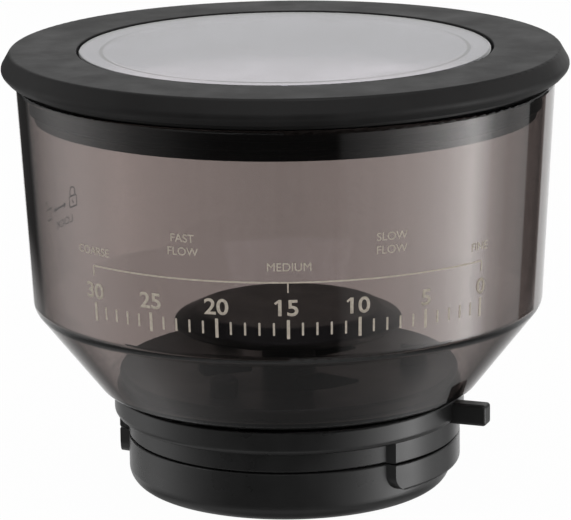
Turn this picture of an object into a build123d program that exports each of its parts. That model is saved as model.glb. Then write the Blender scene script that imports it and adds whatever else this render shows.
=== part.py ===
from build123d import *
from math import cos, degrees, radians, sin
import os

# Bean hopper of a coffee grinder: millimetres and degrees, +Z up, the axis at x = y = 0, feet at z = 0

# Feet
foot_count = 3
foot_angle = -60
foot_radius = 3.0
foot_height = 0.5
foot_depth = 1.0
foot_margin = 0.7

# Base ring and its outlet tube
base_radius = 39.4
base_height = 12.2
base_round = 4.2
base_floor = 2.4
base_wall = 3.8
outlet_radius = 23.0
outlet_wall = 2.4

# Pillars and screws that tie the base ring to the bowl through the turning gate
pillar_count = 3
pillar_angle = 0
pillar_radius = 3.5
pillar_foot_radius = 4.6
pillar_foot_height = 7.5
pillar_margin = 0.5
pillar_rib = 1.8
screw_radius = 1.5
screw_head_radius = 2.9
screw_head_height = 2.2
screw_seat = 2.5
screw_bite = 5.0
screw_cover = 1.5

# Bayonet lugs, each split between the base ring and the gate ring
lug_count = 2
lug_angle = -27.5
lug_width = 36.1
lug_reach = 2.3
lug_drop = 6.8
lug_corner = 4.0
lug_round = 0.7

# Gate ring: stepped collar, lap joint, shutter web and lever
parting_gap = 0.4
neck_height = 4.9
band_step = 3.3
band_height = 5.8
band_round = 1.6
lap_length = 3.0
lap_depth = 1.8
glide_height = 1.0
web_thickness = 2.6
web_drop = 0.4
gate_angle = 50
lever_angle = -21
lever_length = 8.3
lever_width = 4.6
lever_height = 5.2
lever_round = 0.9

# Bean ports, the same in the throat plate and the shutter web
port_count = 3
port_angle = 60
port_arc_angle = 46
port_inner = 9.0
port_margin = 0.8
port_round = 2.0

# Bowl
bowl_gap = 1.4
bowl_wall = 2.4
bowl_overhang = 2.9
cone_height = 20.6
cone_width = 16.1
crease_round = 4.0
wall_height = 54.3
wall_width = 2.9
rim_round = 0.9
bowl_foot_round = 3.0

# Throat plate, its gasket and the finger guard
plate_margin = 4.1
plate_edge = 2.4
plate_dish = 0.8
plug_wall = 1.4
gasket_margin = 1.5
gasket_width = 3.0
gasket_height = 0.8
boss_radius = 3.4
guard_overhang = 5.5
guard_height = 14.7
guard_drop = 2.6
guard_drop_width = 5.4
guard_round = 3.0
guard_wall = 2.2
guard_rim = 1.6
stem_radius = 6.5
gusset_length = 8.0
gusset_height = 6.0

# Lid
lid_overhang = 3.7
lid_top_draw = 2.4
lid_hem_draw = 1.8
lid_gap = 1.4
lid_height = 6.1
lid_belly_height = 2.0
lid_belly_round = 1.6
lid_top_round = 0.9
lid_face = 16.2
lid_deck = 3.0
lid_lip = 1.4
skirt_margin = 1.7
skirt_inset = 0.2
skirt_depth = 7.7
skirt_wall = 2.4
seal_height = 2.8
seal_rise = 1.8
seal_depth = 1.0
window_recess = 0.2
window_wall = 2.3
window_relief = 1.1
window_rim = 5.7
window_margin = 2.6

# Edge rounds that show little
lip_round = 0.2
fine_round = 0.3
edge_round = 0.5
soft_round = 1.0

# Clearances, and how far joined shapes run into each other
fit_gap = 0.2
run_gap = 0.4
seal_gap = 0.35
screw_gap = 0.2
overlap = 1.0

# Levels, from the feet upwards
base_bottom = foot_height
base_top = base_bottom + base_height
gate_bottom = base_top + parting_gap
band_bottom = gate_bottom + neck_height
band_top = band_bottom + band_height
web_top = band_top - web_drop
web_bottom = web_top - web_thickness
lap_bottom = gate_bottom - lap_length
glide_bottom = lap_bottom - run_gap - glide_height
bowl_bottom = band_top + bowl_gap
floor_top = bowl_bottom + bowl_wall
crease_level = bowl_bottom + cone_height
rim_level = crease_level + wall_height
plug_bottom = web_top + run_gap
plate_top = floor_top + plate_edge - plate_dish
guard_top = plate_top + guard_height
hem_level = rim_level + lid_gap
lid_top = hem_level + lid_height
deck_bottom = lid_top - lid_deck
skirt_bottom = rim_level - skirt_depth
seal_bottom = skirt_bottom + seal_rise
window_top = lid_top - window_recess
lip_bottom = lid_top - lid_lip
window_bottom = window_top - window_wall

# Radii that follow from the fits
lap_radius = base_radius - lap_depth
base_bore = base_radius - base_wall
outlet_outer = outlet_radius + outlet_wall
foot_offset = base_radius - base_round - foot_radius - foot_margin
pillar_offset = base_bore - pillar_foot_radius - pillar_margin
lug_radius = base_radius + lug_reach
band_radius = base_radius + band_step
lever_radius = band_radius + lever_length
port_outer = outlet_radius - port_margin
plug_radius = port_outer + plug_wall
cone_foot_radius = band_radius + bowl_overhang
crease_radius = cone_foot_radius + cone_width
rim_radius = crease_radius + wall_width
plate_radius = cone_foot_radius - plate_margin
gasket_inner = pillar_offset + boss_radius + gasket_margin
gasket_outer = gasket_inner + gasket_width
guard_radius = port_outer + guard_overhang
guard_top_radius = guard_radius - guard_drop_width
lid_radius = rim_radius + lid_overhang
lid_top_radius = lid_radius - lid_top_draw
lid_hem_radius = lid_radius - lid_hem_draw
skirt_radius = rim_radius - bowl_wall - skirt_margin
skirt_inside = skirt_radius - skirt_wall
seat_radius = rim_radius - rim_round
window_radius = lid_top_radius - lid_face
relief_radius = window_radius - window_rim
flange_radius = skirt_inside - window_margin

# Holes, and the level the bosses reach
boss_top = floor_top + screw_bite + screw_cover
screw_hole = screw_radius + screw_gap
head_hole = screw_head_radius + screw_gap
slot_width = 2 * (pillar_radius + run_gap)


def polar(radius, angle, height=0.0):
    # A point at a distance and a direction from the axis
    return (radius * cos(radians(angle)), radius * sin(radians(angle)), height)


def around(count, start):
    # Directions spread evenly round the axis
    return [start + 360 / count * i for i in range(count)]


def turned(points, rounds):
    # A closed half section, with its corner rounds, turned about the axis
    outline = FilletPolyline(*points, radius=rounds, close=True)
    return revolve(Plane.XZ * make_face(outline), Axis.Z)


def rod(radius, low, high, place=(0, 0, 0)):
    # An upright cylinder between two levels
    foot = Pos(place[0], place[1], low)
    return foot * Cylinder(radius, high - low, align=(Align.CENTER, Align.CENTER, Align.MIN))


def ring(inner, outer, low, high):
    # A square-edged ring between two levels
    return rod(outer, low, high) - rod(inner, low, high)


def screw(seat, length, place):
    # A pan-head screw driven upwards, its head under the seat
    shank = rod(screw_radius, seat, seat + length, place)
    head = rod(screw_head_radius, seat - screw_head_height, seat, place)
    rim = head.edges().group_by(Axis.Z)[0]
    return shank + fillet(rim, screw_head_height * 0.35)


def port(angle, low, high):
    # One bean port: a rounded slice of a ring, cut upwards
    start = angle - port_arc_angle / 2
    outer = CenterArc((0, 0), port_outer, start, port_arc_angle)
    inner = CenterArc((0, 0), port_inner, start, port_arc_angle)
    sides = [Line(inner @ 0, outer @ 0), Line(inner @ 1, outer @ 1)]
    face = make_face([outer, inner] + sides)
    face = fillet(face.vertices(), port_round)
    return Pos(0, 0, low) * extrude(face, high - low)


def lug(angle, low, high, corner, low_edge, high_edge):
    # One lug: a round-cornered block drawn outwards, trimmed to the lug's radius
    plane = Plane(origin=(0, 0, 0), x_dir=polar(1, angle + 90), z_dir=polar(1, angle))
    half = lug_width / 2
    front = FilletPolyline(
        (half, high), (-half, high), (-half, low), (half, low),
        radius=[0, 0, corner, corner], close=True)
    block = extrude(plane * make_face(front), lug_radius + overlap)
    root = base_radius - overlap
    skin = turned(
        [(root, low), (lug_radius, low), (lug_radius, high), (root, high)], [0, low_edge, high_edge, 0])
    return block & skin


def base_ring():
    # Round-bottomed cup with the outlet tube, the pillars and the lower lug halves
    body = turned(
        [(outlet_radius, base_bottom), (base_radius, base_bottom), (base_radius, base_top),
         (base_bore, base_top), (base_bore, base_bottom + base_floor),
         (outlet_outer, base_bottom + base_floor),
         (outlet_outer, web_bottom - run_gap), (outlet_radius, web_bottom - run_gap)],
        [edge_round, base_round, fine_round, 0, soft_round, soft_round, fine_round, edge_round])
    for angle in around(lug_count, lug_angle):
        body += lug(angle, base_top - lug_drop, base_top, lug_corner, lug_round, fine_round)
    body -= ring(base_bore, lap_radius + run_gap, glide_bottom, base_top)
    for angle in around(pillar_count, pillar_angle):
        spot = polar(pillar_offset, angle)
        body += rod(pillar_foot_radius, base_bottom, base_bottom + pillar_foot_height, spot)
        body += rod(pillar_radius, base_bottom, bowl_bottom, spot)
        rib_length = pillar_offset - outlet_outer + outlet_wall / 2
        rib_middle = polar(pillar_offset - rib_length / 2, angle, base_bottom)
        rib_height = web_bottom - 2 * run_gap - base_bottom
        rib = Box(rib_length, pillar_rib, rib_height, align=(Align.CENTER, Align.CENTER, Align.MIN))
        body += Pos(*rib_middle) * Rot(0, 0, angle) * rib
    seat = base_bottom + pillar_foot_height - screw_seat
    for angle in around(pillar_count, pillar_angle):
        spot = polar(pillar_offset, angle)
        body -= rod(head_hole, base_bottom, seat, spot)
        body -= rod(screw_hole, seat, bowl_bottom, spot)
    for angle in around(foot_count, foot_angle):
        spot = polar(foot_offset, angle)
        body -= rod(foot_radius, base_bottom, base_bottom + foot_depth, spot)
    return body


def base_feet():
    # Round nubs let into the underside
    feet = []
    for angle in around(foot_count, foot_angle):
        nub = rod(foot_radius, 0, base_bottom + foot_depth, polar(foot_offset, angle))
        feet.append(fillet(nub.edges().group_by(Axis.Z)[0], foot_height * 0.6))
    return feet


def base_screws():
    # Long screws up through the pillars and the bowl's floor into the throat plate
    seat = base_bottom + pillar_foot_height - screw_seat
    length = floor_top + screw_bite - seat
    return [screw(seat, length, polar(pillar_offset, angle)) for angle in around(pillar_count, pillar_angle)]


def glide_ring():
    # Flat ring on the base ring's shelf, under the gate ring's lap
    return ring(base_bore + run_gap, lap_radius, glide_bottom, glide_bottom + glide_height)


def lever():
    # Round-edged blade standing out of the collar
    plane = Plane(origin=(0, 0, band_bottom + lever_height / 2), x_dir=polar(1, lever_angle + 90),
                  z_dir=polar(1, lever_angle))
    section = RectangleRounded(lever_width, lever_height, lever_round)
    blade = extrude(plane * section, lever_radius)
    tip = blade.faces().sort_by_distance(polar(lever_radius, lever_angle, band_bottom))[0]
    blade = fillet(tip.edges(), lever_round * 0.9)
    return blade - rod(band_radius - overlap, band_bottom - overlap, band_top + overlap)


def gate_ring():
    # Turning collar: two bands, lap, web with bean ports and pillar slots, lever and upper lug halves
    seat = lap_radius + run_gap
    body = turned(
        [(0, web_bottom), (base_bore, web_bottom), (base_bore, lap_bottom), (lap_radius, lap_bottom),
         (lap_radius, gate_bottom), (base_radius, gate_bottom), (base_radius, band_bottom),
         (band_radius, band_bottom), (band_radius, band_top), (seat, band_top), (seat, web_top),
         (0, web_top)],
        [0, edge_round, fine_round, fine_round, 0, fine_round, fine_round, band_round, edge_round,
         fine_round, 0, 0])
    for angle in around(lug_count, lug_angle):
        body += lug(angle, gate_bottom, band_bottom + band_round, 0, fine_round, 0)
    body += lever()
    for angle in around(port_count, port_angle - gate_angle):
        body -= port(angle, web_bottom, web_top)
    slack = degrees(run_gap / pillar_offset)
    for angle in around(pillar_count, pillar_angle - gate_angle - slack):
        path = CenterArc((0, 0), pillar_offset, angle, gate_angle + 2 * slack)
        body -= Pos(0, 0, web_bottom) * extrude(SlotArc(path, slot_width), web_thickness)
    return body


def hopper_bowl():
    # One skin of even thickness: floor, cone and near-upright wall
    outside = FilletPolyline(
        (plug_radius + fit_gap, bowl_bottom), (cone_foot_radius, bowl_bottom),
        (crease_radius, crease_level), (rim_radius, rim_level),
        radius=[bowl_foot_round, crease_round])
    skin = offset(outside, bowl_wall, side=Side.LEFT)
    body = revolve(Plane.XZ * make_face(skin), Axis.Z)
    body &= rod(rim_radius + bowl_wall, 0, rim_level)
    body = fillet(body.edges().group_by(Axis.Z)[-1], rim_round)
    for angle in around(pillar_count, pillar_angle):
        body -= rod(screw_hole, bowl_bottom, floor_top, polar(pillar_offset, angle))
    return body


def throat_plate():
    # Bowl's floor: bean ports round a hub, screw bosses on top, a groove for the gasket below
    body = turned(
        [(0, plug_bottom), (plug_radius, plug_bottom), (plug_radius, floor_top), (plate_radius, floor_top),
         (plate_radius, floor_top + plate_edge), (port_outer, plate_top), (0, plate_top)],
        [0, edge_round, 0, fine_round, soft_round, edge_round, 0])
    for angle in around(pillar_count, pillar_angle):
        boss = rod(boss_radius, floor_top, boss_top, polar(pillar_offset, angle))
        body += fillet(boss.edges().group_by(Axis.Z)[-1], soft_round)
    for angle in around(port_count, port_angle):
        body -= port(angle, plug_bottom, boss_top)
    for angle in around(pillar_count, pillar_angle):
        body -= rod(screw_hole, floor_top, floor_top + screw_bite + screw_gap, polar(pillar_offset, angle))
    body -= ring(gasket_inner - fit_gap, gasket_outer + fit_gap, floor_top, floor_top + gasket_height)
    seat = plug_bottom + screw_head_height + fit_gap
    body -= rod(head_hole, plug_bottom, seat)
    body -= rod(screw_hole, seat, plate_top)
    return body


def bowl_gasket():
    # Flat seal in the throat plate's groove
    return ring(gasket_inner, gasket_outer, floor_top, floor_top + gasket_height)


def finger_guard():
    # Mushroom cap on a gusseted stem, over the bean ports
    shoulder = guard_top - guard_drop
    under = guard_top - guard_wall
    body = turned(
        [(0, plate_top), (stem_radius, plate_top), (stem_radius, under),
         (guard_top_radius - guard_rim, under), (guard_radius - guard_rim, shoulder - guard_rim),
         (guard_radius, shoulder - guard_rim), (guard_radius, shoulder), (guard_top_radius, guard_top),
         (0, guard_top)],
        [0, 0, soft_round, soft_round, fine_round, edge_round, soft_round, guard_round, 0])
    gusset = make_face(Polyline(
        (stem_radius - overlap, under + overlap / 2), (stem_radius + gusset_length, under + overlap / 2),
        (stem_radius, under - gusset_height), (stem_radius - overlap, under - gusset_height), close=True))
    blade = extrude(Plane.XZ * gusset, guard_wall / 2, both=True)
    for angle in around(pillar_count, pillar_angle):
        body += Rot(0, 0, angle) * blade
    return body - rod(screw_hole, plate_top, under - screw_cover)


def guard_screw():
    # Screw from under the hub into the guard's stem
    seat = plug_bottom + screw_head_height + fit_gap
    return screw(seat, guard_top - guard_wall - 2 * screw_cover - seat, (0, 0, 0))


def lid_ring():
    # Broad ring: rolled outer edge, hem clear of the bowl's rim, seat on that rim, plug skirt with a groove
    body = turned(
        [(window_radius + fit_gap, lid_top), (lid_top_radius, lid_top),
         (lid_radius, hem_level + lid_belly_height), (lid_hem_radius, hem_level),
         (seat_radius, hem_level), (seat_radius, rim_level),
         (skirt_radius, rim_level), (skirt_radius - skirt_inset, skirt_bottom),
         (skirt_inside - skirt_inset, skirt_bottom), (skirt_inside, deck_bottom),
         (flange_radius + fit_gap, deck_bottom), (flange_radius + fit_gap, lip_bottom),
         (window_radius + fit_gap, lip_bottom)],
        [fine_round, lid_top_round, lid_belly_round, edge_round, fine_round, fine_round, 0, edge_round,
         edge_round, soft_round, fine_round, 0, fine_round])
    seal_top = seal_bottom + seal_height
    return body - ring(skirt_radius - seal_depth, skirt_radius + overlap, seal_bottom, seal_top)


def lid_seal():
    # Wiper ring in the skirt's groove, its lip just clear of the bowl's wall
    lean = (rim_radius - crease_radius) / wall_height
    level = seal_bottom + seal_height / 2
    wall_inside = rim_radius - lean * (rim_level - level) - bowl_wall
    lip = wall_inside - seal_gap
    root = skirt_radius - seal_depth
    low = seal_bottom + fit_gap / 2
    high = seal_bottom + seal_height - fit_gap / 2
    return turned(
        [(root, low), (skirt_radius - skirt_inset, low), (lip, level - fit_gap), (lip, level + fit_gap),
         (skirt_radius - skirt_inset, high), (root, high)],
        [lip_round] * 6)


def lid_window():
    # Clear disc let into the ring from below: thin pane, thicker rim, and a flange bonded under the lip
    return turned(
        [(0, window_bottom + window_relief), (relief_radius, window_bottom + window_relief),
         (relief_radius, window_bottom), (flange_radius, window_bottom), (flange_radius, lip_bottom),
         (window_radius, lip_bottom), (window_radius, window_top), (0, window_top)],
        [0, edge_round, edge_round, fine_round, fine_round, 0, soft_round, 0])


PIECES = [base_ring, base_feet, base_screws, glide_ring, gate_ring, hopper_bowl, throat_plate, bowl_gasket,
          finger_guard, guard_screw, lid_ring, lid_seal, lid_window]

os.makedirs("parts", exist_ok=True)
for piece in PIECES:
    shape = piece()
    if isinstance(shape, list):
        shape = Compound(children=shape)
    export_step(shape, f"parts/{piece.__name__}.step")
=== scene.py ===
import math
import bpy
from mathutils import Matrix, Vector


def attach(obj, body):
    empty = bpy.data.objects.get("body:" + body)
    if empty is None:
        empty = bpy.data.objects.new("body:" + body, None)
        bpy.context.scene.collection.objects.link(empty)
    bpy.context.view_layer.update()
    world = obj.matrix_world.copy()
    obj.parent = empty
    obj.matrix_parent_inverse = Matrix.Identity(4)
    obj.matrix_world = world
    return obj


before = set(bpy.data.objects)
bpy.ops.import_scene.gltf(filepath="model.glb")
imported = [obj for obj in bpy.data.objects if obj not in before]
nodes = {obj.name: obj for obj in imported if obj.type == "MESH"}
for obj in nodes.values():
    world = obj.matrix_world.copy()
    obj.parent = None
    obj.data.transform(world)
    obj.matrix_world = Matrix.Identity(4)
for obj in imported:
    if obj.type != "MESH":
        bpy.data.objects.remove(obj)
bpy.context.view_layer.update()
bpy.ops.object.select_all(action="DESELECT")

MM = 0.001

# The bowl's outside wall, which carries the print (millimetres)
rim_radius = 64.6
rim_level = 100.1
crease_radius = 61.7
crease_level = 45.8
wall_lean = (rim_radius - crease_radius) / (rim_level - crease_level)

# Print: films of ink, just proud of the wall (millimetres)
ink_lift = 0.012
ink_film = 0.045
weld_distance = 0.002
letter_steps = 6

# The scale: its marks (degrees apart), numbers, and the bracket over them (millimetres)
scale_top = 30
scale_step = 5
scale_middle = 0.0
degrees_per_mark = 3.02
major_low, major_high = 51.7, 56.2
minor_low, minor_high = 52.5, 55.5
major_width = 0.72
minor_width = 0.48
number_level = 59.0
number_cap = 3.85
number_stretch = 1.12
number_weight = 0.018
bracket_level = 65.0
bracket_width = 0.35
bracket_drop = 2.2
bracket_steps = 90

# The slanting stroke of a figure 1, as shares of its height, and the slant (degrees)
flag_length = 0.34
flag_width = 0.13
flag_overhang = 0.05
flag_rise = 0.36
flag_slant = 38

# Words with their place round the wall (degrees), and their levels and cap heights (millimetres)
grind_words = (("COARSE", -45.0), ("MEDIUM", 0.3), ("FINE", 44.5))
grind_word_level = 68.6
grind_word_cap = 1.9
flow_words = ((("FAST", "FLOW"), -22.0), (("SLOW", "FLOW"), 22.0))
flow_word_levels = (74.6, 71.5)
flow_word_cap = 1.9

# The padlocks, their arrow and their word on the back of the wall (millimetres and degrees)
lock_angle = -109.4
lock_level = 64.0
lock_spread = 8.3
lock_width = 4.2
lock_body = 3.1
lock_stroke = 0.38
lock_corner = 0.532
lock_corner_steps = 5
keyhole_height = 1.116
shackle_radius = 1.428
shackle_leg = 0.9996
shackle_rise = 0.8568
shackle_points = 32
arrow_length = 6.64
arrow_stroke = 0.494
arrow_steps = 4
arrowhead_radius = 0.988
lock_word_turn = -2.0
lock_word_drop = 4.1
lock_word_cap = 1.9
lock_word_stretch = 1.5

# A normal that twists more than this, as a sine, belongs to a real side face of a turned piece
largest_twist = 0.55

# Studio light, where 1 is white. A direction's y and z are parts of a unit vector, y to the back and z up.
# Even light on matt surfaces
soft_level = 0.5
# What gloss shows all round, by degrees from the front: dark camera side, panels, gaps and backdrop
panels = [(-180, 0.95), (-168, 0.95), (-166, 0.04), (-147, 0.05), (-142, 0.2), (-135, 0.28), (-128, 0.42),
          (-123, 0.58), (-117, 0.75), (-112, 0.88), (-106, 0.95), (-97, 0.98), (-80, 0.62), (-67, 0.33),
          (-44, 0.1), (-30, 0.05), (0, 0.04), (22, 0.04), (24, 0.2), (42, 0.55), (56, 1.2), (70, 2.3),
          (87, 4.4), (100, 1.3), (110, 0.65), (127, 0.55), (128, 0.05), (146, 0.05), (148, 0.95), (180, 0.95)]
# From here up to there in z, bright panels are held down to white
limit_start, limit_end = -0.02, 0.12
limit_before, limit_after = 5.0, 1.0
# From here up to there in z, dark panels are filled up to a dim level
fill_start, fill_end = 0.02, 0.2
fill_level = 0.35
# From here up to there in z, the panels give way to light from high up
rise_start, rise_end = 0.25, 0.6
# Light from high up, dim at this y to the front and brighter from that y on to the back
high_front, high_back = -0.9, -0.2
high_front_level = 0.03
high_back_level = 0.4
# Where the floor begins and where it is full, in z, and how much earlier it begins to the back
floor_start, floor_full = -0.42, -0.47
floor_lean = 0.2
# Light off the floor, by z: bright far off, dim, brighter again, and dark underneath
floor_light = [(-1.0, 0.15), (-0.9, 0.28), (-0.8, 0.5), (-0.7, 0.42), (-0.62, 0.25), (-0.56, 0.2),
               (-0.5, 0.32), (-0.4, 0.6), (-0.3, 0.85), (-0.2, 1.0)]
# What shows through clear plastic, by degrees from the front: white, brightest behind, and a grey card
cards = [(-180, 0.95), (-176, 1.2), (-173.5, 1.42), (-170, 1.25), (-162, 1.1), (-157, 0.95), (-148, 0.9),
         (-143, 1.0), (143, 1.0), (148, 0.6), (155, 0.6), (160, 0.8), (168.7, 0.85), (169.7, 0.97),
         (171, 0.97), (174, 1.12), (177, 1.2), (180, 0.95)]

# The lamp before and over the object, its aim and its size (metres), and its brightness
lamp_distance = 0.35
lamp_level = 1.1
lamp_aim = 0.06
lamp_size = 0.9
lamp_radiance = 1.2

# The floor's side (metres), and how much of it is plain white to the camera
floor_size = 12
floor_glow = 0.98

# The photograph (pixels): its size, its focal length and where the lens's axis meets it
photo_width, photo_height = 571, 520
photo_focal = 3505.85
axis_x, axis_y = 287.458, 249.132
# The camera: tilt down and roll (radians), its aim and distance (metres), and its sensor (millimetres)
camera_tilt = 0.23701
camera_roll = -0.01266
camera_aim = 0.0576
camera_distance = 0.85
sensor_width = 36.0


def linear(code):
    # sRGB hex colour to linear RGBA
    parts = [int(code[i:i + 2], 16) / 255 for i in (1, 3, 5)]
    parts = [c / 12.92 if c <= 0.04045 else ((c + 0.055) / 1.055) ** 2.4 for c in parts]
    return (*parts, 1.0)


def add_node(tree, kind, settings=None, inputs=None, links=None):
    # One shader node with its options, its plain inputs and its links from other nodes' outputs
    made = tree.nodes.new(kind)
    for name, value in (settings or {}).items():
        setattr(made, name, value)
    for name, value in (inputs or {}).items():
        made.inputs[name].default_value = value
    for name, output in (links or {}).items():
        tree.links.new(output, made.inputs[name])
    return made


def new_material(name):
    # An empty node material
    made = bpy.data.materials.new(name)
    made.use_nodes = True
    made.node_tree.nodes.clear()
    return made, made.node_tree


def grain_scale(size_mm):
    # Noise scale that gives blotches of about this size
    return 1.0 / (size_mm * MM)


def turned_normal(tree):
    # The surface's normal without its twist round the axis, for pieces that are turned about that axis
    place = add_node(tree, "ShaderNodeTexCoord")
    spot = add_node(tree, "ShaderNodeSeparateXYZ", None, None, {"Vector": place.outputs["Object"]})
    back = add_node(tree, "ShaderNodeMath", {"operation": "MULTIPLY"}, {1: -1.0}, {0: spot.outputs["Y"]})
    way = add_node(tree, "ShaderNodeCombineXYZ", None, None,
                   {"X": back.outputs["Value"], "Y": spot.outputs["X"]})
    twist = add_node(tree, "ShaderNodeVectorMath", {"operation": "PROJECT"}, None,
                     {0: place.outputs["Normal"], 1: way.outputs["Vector"]})
    size = add_node(tree, "ShaderNodeVectorMath", {"operation": "LENGTH"}, None, {0: twist.outputs["Vector"]})
    small = add_node(tree, "ShaderNodeMath", {"operation": "LESS_THAN"}, {1: largest_twist},
                     {0: size.outputs["Value"]})
    share = add_node(tree, "ShaderNodeVectorMath", {"operation": "SCALE"}, None,
                     {0: twist.outputs["Vector"], "Scale": small.outputs["Value"]})
    straight = add_node(tree, "ShaderNodeVectorMath", {"operation": "SUBTRACT"}, None,
                        {0: place.outputs["Normal"], 1: share.outputs["Vector"]})
    turned = add_node(tree, "ShaderNodeVectorTransform",
                      {"vector_type": "NORMAL", "convert_from": "OBJECT", "convert_to": "WORLD"}, None,
                      {"Vector": straight.outputs["Vector"]})
    return turned.outputs["Vector"]


def dress(node_names, material):
    # The material on carried-over CAD nodes
    for name in node_names:
        mesh = nodes[name].data
        mesh.materials.clear()
        mesh.materials.append(material)


# Smoked copolyester, moulded and polished: clear brown-grey body, faint smears that break the gloss
def smoked_copolyester():
    made, tree = new_material("smoked_copolyester_polished")
    place = add_node(tree, "ShaderNodeTexCoord")
    smear = add_node(tree, "ShaderNodeTexNoise", None,
                     {"Scale": grain_scale(size_mm=18), "Detail": 3.0, "Roughness": 0.55},
                     {"Vector": place.outputs["Object"]})
    gloss = add_node(tree, "ShaderNodeMapRange", None,
                     {"From Min": 0.35, "From Max": 0.75, "To Min": 0.012, "To Max": 0.045},
                     {"Value": smear.outputs["Fac"]})
    body = add_node(tree, "ShaderNodeBsdfPrincipled", None,
                    {"Base Color": (1.0, 1.0, 1.0, 1.0), "IOR": 1.57, "Transmission Weight": 1.0},
                    {"Roughness": gloss.outputs["Result"], "Normal": turned_normal(tree)})
    tint = add_node(tree, "ShaderNodeVolumeAbsorption", None,
                    {"Color": linear("#876a5e"), "Density": 426.0})
    add_node(tree, "ShaderNodeOutputMaterial", None, None,
             {"Surface": body.outputs["BSDF"], "Volume": tint.outputs["Volume"]})
    return made


# Clear acrylic sheet, polished: faintly grey, with a slight haze from wiping
def clear_acrylic():
    made, tree = new_material("clear_acrylic_polished")
    place = add_node(tree, "ShaderNodeTexCoord")
    haze = add_node(tree, "ShaderNodeTexNoise", None,
                    {"Scale": grain_scale(size_mm=14), "Detail": 4.0, "Roughness": 0.6},
                    {"Vector": place.outputs["Object"]})
    gloss = add_node(tree, "ShaderNodeMapRange", None,
                     {"From Min": 0.3, "From Max": 0.7, "To Min": 0.02, "To Max": 0.09},
                     {"Value": haze.outputs["Fac"]})
    body = add_node(tree, "ShaderNodeBsdfPrincipled", None,
                    {"Base Color": linear("#d2d0dc"), "IOR": 1.49, "Transmission Weight": 1.0},
                    {"Roughness": gloss.outputs["Result"], "Normal": turned_normal(tree)})
    add_node(tree, "ShaderNodeOutputMaterial", None, None, {"Surface": body.outputs["BSDF"]})
    return made


# Moulded black plastic or rubber: near-black body, fine grain, gloss that wanders a little
def moulded_black(name, dark, pale, roughness, grain_mm, grain_depth_mm, specular=0.5, turned=False):
    made, tree = new_material(name)
    place = add_node(tree, "ShaderNodeTexCoord")
    cloud = add_node(tree, "ShaderNodeTexNoise", None,
                     {"Scale": grain_scale(size_mm=11), "Detail": 4.0, "Roughness": 0.6},
                     {"Vector": place.outputs["Object"]})
    tone = add_node(tree, "ShaderNodeValToRGB", None, None, {"Fac": cloud.outputs["Fac"]})
    tone.color_ramp.elements[0].position = 0.35
    tone.color_ramp.elements[0].color = linear(dark)
    tone.color_ramp.elements[1].position = 0.7
    tone.color_ramp.elements[1].color = linear(pale)
    gloss = add_node(tree, "ShaderNodeMapRange", None,
                     {"From Min": 0.3, "From Max": 0.7, "To Min": roughness[0], "To Max": roughness[1]},
                     {"Value": cloud.outputs["Fac"]})
    grain = add_node(tree, "ShaderNodeTexNoise", None,
                     {"Scale": grain_scale(grain_mm), "Detail": 2.0, "Roughness": 0.5},
                     {"Vector": place.outputs["Object"]})
    relief = add_node(tree, "ShaderNodeBump", None,
                      {"Strength": 0.6, "Distance": grain_depth_mm * MM},
                      {"Height": grain.outputs["Fac"]})
    if turned:
        tree.links.new(turned_normal(tree), relief.inputs["Normal"])
    body = add_node(tree, "ShaderNodeBsdfPrincipled", None,
                    {"IOR": 1.5, "Specular IOR Level": specular},
                    {"Base Color": tone.outputs["Color"], "Roughness": gloss.outputs["Result"],
                     "Normal": relief.outputs["Normal"]})
    add_node(tree, "ShaderNodeOutputMaterial", None, None, {"Surface": body.outputs["BSDF"]})
    return made


# Zinc-plated steel: bright metal with a faint yellowish cloud, duller in places
def plated_steel():
    made, tree = new_material("zinc_plated_steel")
    place = add_node(tree, "ShaderNodeTexCoord")
    cloud = add_node(tree, "ShaderNodeTexNoise", None,
                     {"Scale": grain_scale(size_mm=1.5), "Detail": 3.0, "Roughness": 0.6},
                     {"Vector": place.outputs["Object"]})
    tone = add_node(tree, "ShaderNodeValToRGB", None, None, {"Fac": cloud.outputs["Fac"]})
    tone.color_ramp.elements[0].position = 0.3
    tone.color_ramp.elements[0].color = linear("#a9a8a2")
    tone.color_ramp.elements[1].position = 0.7
    tone.color_ramp.elements[1].color = linear("#c9c9cb")
    gloss = add_node(tree, "ShaderNodeMapRange", None, {"To Min": 0.22, "To Max": 0.42},
                     {"Value": cloud.outputs["Fac"]})
    body = add_node(tree, "ShaderNodeBsdfPrincipled", None, {"Metallic": 1.0},
                    {"Base Color": tone.outputs["Color"], "Roughness": gloss.outputs["Result"]})
    add_node(tree, "ShaderNodeOutputMaterial", None, None, {"Surface": body.outputs["BSDF"]})
    return made


# Natural acetal: waxy off-white, soft gloss
def natural_acetal():
    made, tree = new_material("natural_acetal_waxy")
    place = add_node(tree, "ShaderNodeTexCoord")
    cloud = add_node(tree, "ShaderNodeTexNoise", None,
                     {"Scale": grain_scale(size_mm=4), "Detail": 2.0, "Roughness": 0.5},
                     {"Vector": place.outputs["Object"]})
    tone = add_node(tree, "ShaderNodeValToRGB", None, None, {"Fac": cloud.outputs["Fac"]})
    tone.color_ramp.elements[0].color = linear("#d9d8d0")
    tone.color_ramp.elements[1].color = linear("#eae9e3")
    gloss = add_node(tree, "ShaderNodeMapRange", None, {"To Min": 0.3, "To Max": 0.45},
                     {"Value": cloud.outputs["Fac"]})
    body = add_node(tree, "ShaderNodeBsdfPrincipled", None, {"IOR": 1.48},
                    {"Base Color": tone.outputs["Color"], "Roughness": gloss.outputs["Result"]})
    add_node(tree, "ShaderNodeOutputMaterial", None, None, {"Surface": body.outputs["BSDF"]})
    return made


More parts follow.
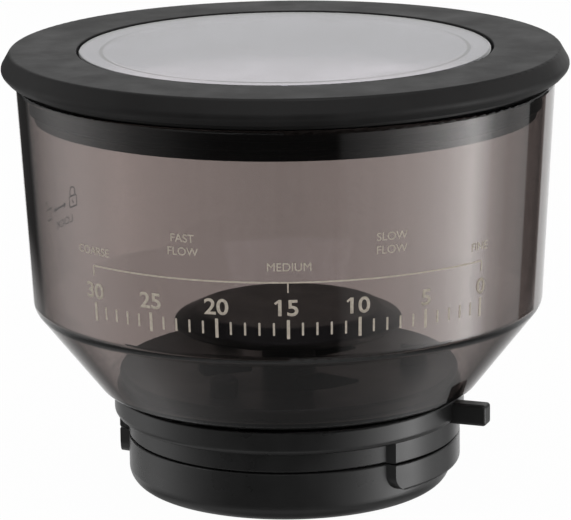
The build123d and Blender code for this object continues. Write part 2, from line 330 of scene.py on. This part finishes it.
# Screen-printed ink: pale beige film, slightly uneven where the mesh laid it down
def printed_ink():
    made, tree = new_material("screen_ink_beige")
    place = add_node(tree, "ShaderNodeTexCoord")
    cover = add_node(tree, "ShaderNodeTexNoise", None,
                     {"Scale": grain_scale(size_mm=0.6), "Detail": 2.0, "Roughness": 0.5},
                     {"Vector": place.outputs["Object"]})
    tone = add_node(tree, "ShaderNodeValToRGB", None, None, {"Fac": cover.outputs["Fac"]})
    tone.color_ramp.elements[0].position = 0.3
    tone.color_ramp.elements[0].color = linear("#bbb0a1")
    tone.color_ramp.elements[1].position = 0.65
    tone.color_ramp.elements[1].color = linear("#d1c7b8")
    body = add_node(tree, "ShaderNodeBsdfPrincipled", None, {"IOR": 1.5, "Roughness": 0.5},
                    {"Base Color": tone.outputs["Color"]})
    add_node(tree, "ShaderNodeOutputMaterial", None, None, {"Surface": body.outputs["BSDF"]})
    return made


def dress_nodes():
    # Each piece in the stuff that it is made of
    lid_abs = moulded_black("black_abs_fine_matt", "#161515", "#1d1c1c", roughness=(0.46, 0.58),
                            grain_mm=0.5, grain_depth_mm=0.03, specular=0.3, turned=True)
    collar_abs = moulded_black("black_abs_semi_gloss", "#222222", "#2a2a2a", roughness=(0.26, 0.34),
                               grain_mm=0.7, grain_depth_mm=0.006)
    inner_abs = moulded_black("black_abs_satin", "#131313", "#1b1b1a", roughness=(0.34, 0.44),
                              grain_mm=0.6, grain_depth_mm=0.012)
    rubber = moulded_black("black_silicone_rubber", "#111111", "#1a1a1a", roughness=(0.6, 0.75),
                           grain_mm=0.4, grain_depth_mm=0.02)
    dress(["lid_ring"], lid_abs)
    dress(["gate_ring", "base_ring"], collar_abs)
    dress(["finger_guard", "throat_plate"], inner_abs)
    dress(["lid_seal", "bowl_gasket", "base_feet"], rubber)
    dress(["hopper_bowl"], smoked_copolyester())
    dress(["lid_window"], clear_acrylic())
    dress(["guard_screw", "base_screws"], plated_steel())
    dress(["glide_ring"], natural_acetal())


def wrap_on_wall(piece, angle, level):
    # Lays a flat drawing, x to the right and y up in millimetres, on the bowl's outside wall
    for vertex in piece.data.vertices:
        height = level + vertex.co.y
        radius = rim_radius - wall_lean * (rim_level - height) + ink_lift
        turn = math.radians(angle) + vertex.co.x / radius
        vertex.co = Vector((radius * math.sin(turn), -radius * math.cos(turn), height)) * MM


def drawn_word(words, cap, weight=0.0):
    # Flat letters, centred, with this cap height, thickened by this share of the letter size
    bpy.ops.object.select_all(action="DESELECT")
    bpy.ops.object.text_add()
    piece = bpy.context.object
    piece.data.body = words
    piece.data.align_x = "CENTER"
    piece.data.align_y = "CENTER"
    piece.data.resolution_u = letter_steps
    piece.data.offset = weight
    bpy.ops.object.convert(target="MESH")
    piece = bpy.context.object
    xs = [v.co.x for v in piece.data.vertices]
    ys = [v.co.y for v in piece.data.vertices]
    middle = Vector(((min(xs) + max(xs)) / 2, (min(ys) + max(ys)) / 2, 0))
    piece.data.transform(Matrix.Scale(cap / (max(ys) - min(ys)), 4) @ Matrix.Translation(-middle))
    return piece


def drawn_bar(width, height, steps=1):
    # A flat bar, centred, cut across so that it can follow the wall
    bpy.ops.object.select_all(action="DESELECT")
    bpy.ops.mesh.primitive_grid_add(x_subdivisions=steps, y_subdivisions=1, size=1)
    piece = bpy.context.object
    bpy.ops.object.mode_set(mode="EDIT")
    bpy.ops.mesh.select_all(action="SELECT")
    bpy.ops.transform.resize(value=(width, height, 1))
    bpy.ops.object.mode_set(mode="OBJECT")
    return piece


def drawn_flag(cap):
    # The short slanting stroke at the top of a figure 1
    piece = drawn_bar(cap * flag_length, cap * flag_width)
    piece.data.transform(Matrix.Rotation(math.radians(flag_slant), 4, "Z"))
    return piece


def drawn_frame(width, height, stroke, corner):
    # A flat outline with rounded corners
    piece = drawn_bar(width, height)
    bpy.ops.object.mode_set(mode="EDIT")
    bpy.ops.mesh.select_all(action="SELECT")
    bpy.ops.mesh.bevel(offset=corner, segments=lock_corner_steps, affect="VERTICES")
    bpy.ops.mesh.select_all(action="SELECT")
    bpy.ops.mesh.inset(thickness=stroke)
    bpy.ops.mesh.delete(type="FACE")
    bpy.ops.object.mode_set(mode="OBJECT")
    return piece


def drawn_shackle(radius, leg, stroke):
    # Half a flat ring on two legs
    bpy.ops.object.select_all(action="DESELECT")
    bpy.ops.mesh.primitive_circle_add(vertices=shackle_points, radius=radius, fill_type="NGON")
    piece = bpy.context.object
    bpy.ops.object.mode_set(mode="EDIT")
    bpy.ops.mesh.select_all(action="SELECT")
    bpy.ops.mesh.inset(thickness=stroke)
    bpy.ops.mesh.delete(type="FACE")
    bpy.ops.mesh.select_all(action="SELECT")
    bpy.ops.mesh.bisect(plane_co=(0, 0, 0), plane_no=(0, 1, 0), clear_inner=True)
    bpy.ops.mesh.extrude_region_move(TRANSFORM_OT_translate={"value": (0, -leg, 0)})
    bpy.ops.object.mode_set(mode="OBJECT")
    return piece


def drawn_arrowhead(size, turn):
    # A flat triangle that points left or right
    bpy.ops.object.select_all(action="DESELECT")
    bpy.ops.mesh.primitive_circle_add(vertices=3, radius=size, fill_type="NGON")
    piece = bpy.context.object
    piece.data.transform(Matrix.Rotation(math.radians(turn), 4, "Z"))
    return piece


def drawn_padlock(opened):
    # Body outline, keyhole and shackle, the shackle swung aside when open
    body = drawn_frame(lock_width, lock_body, lock_stroke, lock_corner)
    keyhole = drawn_bar(lock_stroke, keyhole_height)
    shackle = drawn_shackle(shackle_radius, shackle_leg, lock_stroke)
    aside = 2 * shackle_radius - lock_stroke if opened else 0
    shackle.data.transform(Matrix.Translation((aside, lock_body / 2 + shackle_rise, 0)))
    return [body, keyhole, shackle]


def join_print(parts, name, ink):
    # Several wrapped drawings become one film of ink
    bpy.ops.object.select_all(action="DESELECT")
    for part in parts:
        face = part.data.polygons[0]
        if face.normal.x * face.center.x + face.normal.y * face.center.y < 0:
            part.data.flip_normals()
        part.select_set(True)
    bpy.context.view_layer.objects.active = parts[0]
    bpy.ops.object.join()
    piece = bpy.context.object
    piece.name = name
    piece.data.name = name
    bpy.ops.object.mode_set(mode="EDIT")
    bpy.ops.mesh.select_all(action="SELECT")
    bpy.ops.mesh.remove_doubles(threshold=weld_distance * MM)
    bpy.ops.object.mode_set(mode="OBJECT")
    film = piece.modifiers.new("ink film", "SOLIDIFY")
    film.thickness = ink_film * MM
    film.offset = 1.0
    bpy.ops.object.modifier_apply(modifier=film.name)
    piece.data.materials.clear()
    piece.data.materials.append(ink)
    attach(piece, "hopper")


def print_scale(ink):
    # Marks from 0 to 30, a number at each fifth, and the bracket over them
    parts = []
    for mark in range(scale_top + 1):
        angle = scale_middle + (scale_top / 2 - mark) * degrees_per_mark
        if mark % scale_step == 0:
            low, high, width = major_low, major_high, major_width
            number = drawn_word(str(mark), number_cap, number_weight)
            number.data.transform(Matrix.Diagonal((number_stretch, 1, 1, 1)))
            if str(mark).startswith("1"):
                left = min(v.co.x for v in number.data.vertices)
                flag = drawn_flag(number_cap)
                spot = (left - number_cap * flag_overhang, number_cap * flag_rise, 0)
                flag.data.transform(Matrix.Translation(spot))
                wrap_on_wall(flag, angle, number_level)
                parts.append(flag)
            wrap_on_wall(number, angle, number_level)
            parts.append(number)
        else:
            low, high, width = minor_low, minor_high, minor_width
        bar = drawn_bar(width, high - low)
        wrap_on_wall(bar, angle, (low + high) / 2)
        parts.append(bar)
    reach = scale_top * degrees_per_mark
    radius = rim_radius - wall_lean * (rim_level - bracket_level)
    line = drawn_bar(math.radians(reach) * radius, bracket_width, bracket_steps)
    wrap_on_wall(line, scale_middle, bracket_level)
    parts.append(line)
    for angle in (-reach / 2, 0, reach / 2):
        drop = drawn_bar(bracket_width, bracket_drop)
        wrap_on_wall(drop, scale_middle + angle, bracket_level - bracket_width / 2 - bracket_drop / 2)
        parts.append(drop)
    join_print(parts, "scale_print", ink)


def print_words(ink):
    # Grind words over the bracket, and a two-line flow note each side
    parts = []
    for words, angle in grind_words:
        word = drawn_word(words, grind_word_cap)
        wrap_on_wall(word, angle, grind_word_level)
        parts.append(word)
    for words, angle in flow_words:
        for line, level in zip(words, flow_word_levels):
            word = drawn_word(line, flow_word_cap)
            wrap_on_wall(word, angle, level)
            parts.append(word)
    join_print(parts, "word_print", ink)


def print_locks(ink):
    # Closed and open padlock with a double arrow between them, on the back of the wall
    parts = []
    for side, opened in ((-1, False), (1, True)):
        for part in drawn_padlock(opened):
            part.data.transform(Matrix.Translation((side * lock_spread, 0, 0)))
            parts.append(part)
    parts.append(drawn_bar(arrow_length, arrow_stroke, arrow_steps))
    for side, turn in ((-1, 90), (1, -90)):
        head = drawn_arrowhead(arrowhead_radius, turn)
        head.data.transform(Matrix.Translation((side * arrow_length / 2, 0, 0)))
        parts.append(head)
    for part in parts:
        wrap_on_wall(part, lock_angle, lock_level)
    word = drawn_word("LOCK", lock_word_cap)
    word.data.transform(Matrix.Diagonal((lock_word_stretch, 1, 1, 1)))
    wrap_on_wall(word, lock_angle + lock_word_turn, lock_level - lock_word_drop)
    join_print(parts + [word], "lock_print", ink)


def lay_floor():
    # Pale floor: white to the camera, with a faint shadow, and left out of gloss and clear plastic
    bpy.ops.object.select_all(action="DESELECT")
    bpy.ops.mesh.primitive_plane_add(size=floor_size)
    floor = bpy.context.object
    floor.name = "pale_floor"
    made, tree = new_material("pale_floor")
    path = add_node(tree, "ShaderNodeLightPath")
    share = add_node(tree, "ShaderNodeMath", {"operation": "MULTIPLY"}, {1: floor_glow},
                     {0: path.outputs["Is Camera Ray"]})
    paint = add_node(tree, "ShaderNodeBsdfDiffuse", None, {"Color": linear("#f2f2f2")})
    glow = add_node(tree, "ShaderNodeEmission", None, {"Color": (1, 1, 1, 1), "Strength": 1.0})
    both = add_node(tree, "ShaderNodeMixShader", None, None,
                    {0: share.outputs["Value"], 1: paint.outputs["BSDF"], 2: glow.outputs["Emission"]})
    add_node(tree, "ShaderNodeOutputMaterial", None, None, {"Surface": both.outputs["Shader"]})
    floor.data.materials.append(made)
    floor.visible_glossy = False
    floor.visible_transmission = False


def painted(tree, value, stops):
    # Brightness by a direction's angle or steepness, between stops of (direction, brightness)
    brightest = max(level for spot, level in stops)
    first, last = stops[0][0], stops[-1][0]
    share = add_node(tree, "ShaderNodeMapRange", None, {"From Min": first, "From Max": last},
                     {"Value": value})
    ramp = add_node(tree, "ShaderNodeValToRGB", None, None, {"Fac": share.outputs["Result"]})
    marks = ramp.color_ramp.elements
    for spot, level in stops[1:-1]:
        marks.new((spot - first) / (last - first)).color = (*[level / brightest] * 3, 1)
    marks[0].color = (*[stops[0][1] / brightest] * 3, 1)
    marks[-1].color = (*[stops[-1][1] / brightest] * 3, 1)
    made = add_node(tree, "ShaderNodeMath", {"operation": "MULTIPLY"}, {1: brightest},
                    {0: ramp.outputs["Color"]})
    return made.outputs["Value"]


def tent_in_gloss(tree, way, angle):
    # What gloss shows: panels all round, light from high up, and the floor
    limit = add_node(tree, "ShaderNodeMapRange", None,
                     {"From Min": limit_start, "From Max": limit_end,
                      "To Min": limit_before, "To Max": limit_after},
                     {"Value": way.outputs["Z"]})
    fill = add_node(tree, "ShaderNodeMapRange", None,
                    {"From Min": fill_start, "From Max": fill_end, "To Min": 0.0, "To Max": fill_level},
                    {"Value": way.outputs["Z"]})
    limited = add_node(tree, "ShaderNodeMath", {"operation": "MINIMUM"}, None,
                       {0: painted(tree, angle, panels), 1: limit.outputs["Result"]})
    filled = add_node(tree, "ShaderNodeMath", {"operation": "MAXIMUM"}, None,
                      {0: limited.outputs["Value"], 1: fill.outputs["Result"]})
    high = add_node(tree, "ShaderNodeMapRange", {"interpolation_type": "SMOOTHSTEP"},
                    {"From Min": high_front, "From Max": high_back,
                     "To Min": high_front_level, "To Max": high_back_level},
                    {"Value": way.outputs["Y"]})
    rise = add_node(tree, "ShaderNodeMapRange", {"interpolation_type": "SMOOTHSTEP"},
                    {"From Min": rise_start, "From Max": rise_end}, {"Value": way.outputs["Z"]})
    tent = add_node(tree, "ShaderNodeMix", {"data_type": "FLOAT"}, None,
                    {"Factor": rise.outputs["Result"], "A": filled.outputs["Value"],
                     "B": high.outputs["Result"]})
    tilt = add_node(tree, "ShaderNodeMath", {"operation": "MULTIPLY_ADD"}, {1: -floor_lean},
                    {0: way.outputs["Y"], 2: way.outputs["Z"]})
    sink = add_node(tree, "ShaderNodeMapRange", {"interpolation_type": "SMOOTHSTEP"},
                    {"From Min": floor_start, "From Max": floor_full}, {"Value": tilt.outputs["Value"]})
    gloss = add_node(tree, "ShaderNodeMix", {"data_type": "FLOAT"}, None,
                     {"Factor": sink.outputs["Result"], "A": tent.outputs["Result"],
                      "B": painted(tree, way.outputs["Z"], floor_light)})
    return gloss.outputs["Result"]


def straight_through(tree, path):
    # 1 for rays that have only passed through clear plastic, whose depth is one more than their passes
    turns = add_node(tree, "ShaderNodeMath", {"operation": "SUBTRACT"}, None,
                     {0: path.outputs["Ray Depth"], 1: path.outputs["Transmission Depth"]})
    straight = add_node(tree, "ShaderNodeMath", {"operation": "COMPARE"}, {1: 1.0, 2: 0.1},
                        {0: turns.outputs["Value"]})
    through = add_node(tree, "ShaderNodeMath", {"operation": "MULTIPLY"}, None,
                       {0: straight.outputs["Value"], 1: path.outputs["Is Transmission Ray"]})
    return through.outputs["Value"]


def light_world():
    # Soft even light, the tent in gloss, cards behind clear plastic, and plain white to the camera
    world = bpy.data.worlds.new("white_tent")
    bpy.context.scene.world = world
    world.use_nodes = True
    tree = world.node_tree
    tree.nodes.clear()
    place = add_node(tree, "ShaderNodeTexCoord")
    way = add_node(tree, "ShaderNodeSeparateXYZ", None, None, {"Vector": place.outputs["Generated"]})
    ahead = add_node(tree, "ShaderNodeMath", {"operation": "MULTIPLY"}, {1: -1.0}, {0: way.outputs["Y"]})
    turn = add_node(tree, "ShaderNodeMath", {"operation": "ARCTAN2"}, None,
                    {0: way.outputs["X"], 1: ahead.outputs["Value"]})
    angle = add_node(tree, "ShaderNodeMath", {"operation": "DEGREES"}, None, {0: turn.outputs["Value"]})
    path = add_node(tree, "ShaderNodeLightPath")
    shiny = add_node(tree, "ShaderNodeMath", {"operation": "MAXIMUM"}, None,
                     {0: path.outputs["Is Glossy Ray"], 1: path.outputs["Is Transmission Ray"]})
    lit = add_node(tree, "ShaderNodeMix", {"data_type": "FLOAT"}, {"A": soft_level},
                   {"Factor": shiny.outputs["Value"],
                    "B": tent_in_gloss(tree, way, angle.outputs["Value"])})
    clear = add_node(tree, "ShaderNodeMix", {"data_type": "FLOAT"}, None,
                     {"Factor": straight_through(tree, path), "A": lit.outputs["Result"],
                      "B": painted(tree, angle.outputs["Value"], cards)})
    level = add_node(tree, "ShaderNodeMix", {"data_type": "FLOAT"}, {"B": 1.0},
                     {"Factor": path.outputs["Is Camera Ray"], "A": clear.outputs["Result"]})
    glow = add_node(tree, "ShaderNodeBackground", None, {"Color": (1, 1, 1, 1)},
                    {"Strength": level.outputs["Result"]})
    add_node(tree, "ShaderNodeOutputWorld", None, None, {"Surface": glow.outputs["Background"]})


def hang_softbox():
    # A square area lamp before and over the object
    spot = Vector((0, -lamp_distance, lamp_level))
    bpy.ops.object.select_all(action="DESELECT")
    bpy.ops.object.light_add(type="AREA", location=spot)
    lamp = bpy.context.object
    lamp.name = "softbox_above"
    lamp.data.shape = "SQUARE"
    lamp.data.size = lamp_size
    lamp.data.energy = lamp_radiance * math.pi * lamp_size ** 2
    lamp.rotation_mode = "QUATERNION"
    lamp.rotation_quaternion = (Vector((0, 0, lamp_aim)) - spot).to_track_quat("-Z", "Y")


def set_camera():
    # The photograph's angle: looking down a little, long lens, slight roll
    back = Vector((0, -math.cos(camera_tilt), math.sin(camera_tilt)))
    bpy.ops.object.select_all(action="DESELECT")
    bpy.ops.object.camera_add(location=Vector((0, 0, camera_aim)) + back * camera_distance)
    camera = bpy.context.object
    camera.rotation_mode = "QUATERNION"
    roll = Matrix.Rotation(camera_roll, 4, "Z").to_quaternion()
    camera.rotation_quaternion = (-back).to_track_quat("-Z", "Y") @ roll
    camera.data.sensor_width = sensor_width
    camera.data.lens = photo_focal * sensor_width / photo_width
    camera.data.shift_x = (photo_width / 2 - axis_x) / photo_width
    camera.data.shift_y = (axis_y - photo_height / 2) / photo_width
    bpy.context.scene.camera = camera


dress_nodes()
ink = printed_ink()
print_scale(ink)
print_words(ink)
print_locks(ink)
lay_floor()
light_world()
hang_softbox()
set_camera()
bpy.context.scene.view_settings.view_transform = "Standard"
